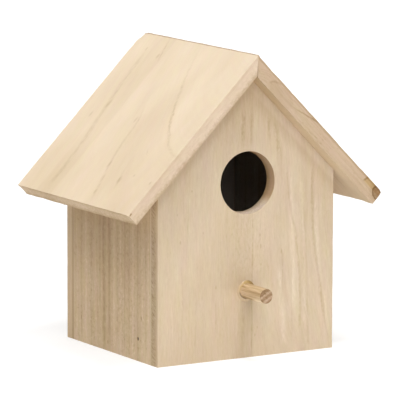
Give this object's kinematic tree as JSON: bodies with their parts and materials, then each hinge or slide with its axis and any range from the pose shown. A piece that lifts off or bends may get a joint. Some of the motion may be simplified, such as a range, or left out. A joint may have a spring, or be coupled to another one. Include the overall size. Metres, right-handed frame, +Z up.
{
  "type": "birdhouse",
  "caption": "Small gabled wooden birdhouse with a round entrance, a dowel perch, overhanging mitred roof boards and a swing-down clean-out floor.",
  "frame": {"origin": "on the ground, under the centre of the whole object's box, from the perch's tip to the rear edge of the roof", "axes": "+Z up; the front board with the entrance faces -Y; +X runs along the front board, to the right of someone who looks at the entrance"},
  "size_m": [0.1584, 0.131, 0.1642],
  "materials": {
    "front_wood": "bare, finely sawn and sanded",
    "side_wood": "bare, finely sawn and sanded",
    "roof_wood": "bare, finely sawn and sanded",
    "dowel_wood": "bare, turned smooth",
    "dried_glue": "dried wood glue, slightly glossy",
    "brad_steel": "dull steel"
  },
  "bodies": {
    "house": {"front_board": "front_wood", "back_board": "front_wood", "left_side_board": "side_wood", "right_side_board": "side_wood", "left_roof_board": "roof_wood", "right_roof_board": "roof_wood", "perch_dowel": "dowel_wood", "perch_glue": "dried_glue", "floor_pivot_left": "brad_steel", "floor_pivot_right": "brad_steel"},
    "clean_out_floor": {"floor_board": "side_wood"}
  },
  "joints": [
    {"name": "floor_swing", "type": "hinge", "parent": "house", "child": "clean_out_floor", "pos_m": [0, -0.024, 0.01225], "axis": [-1, 0, 0], "range_deg": [0, 90]}
  ]
}
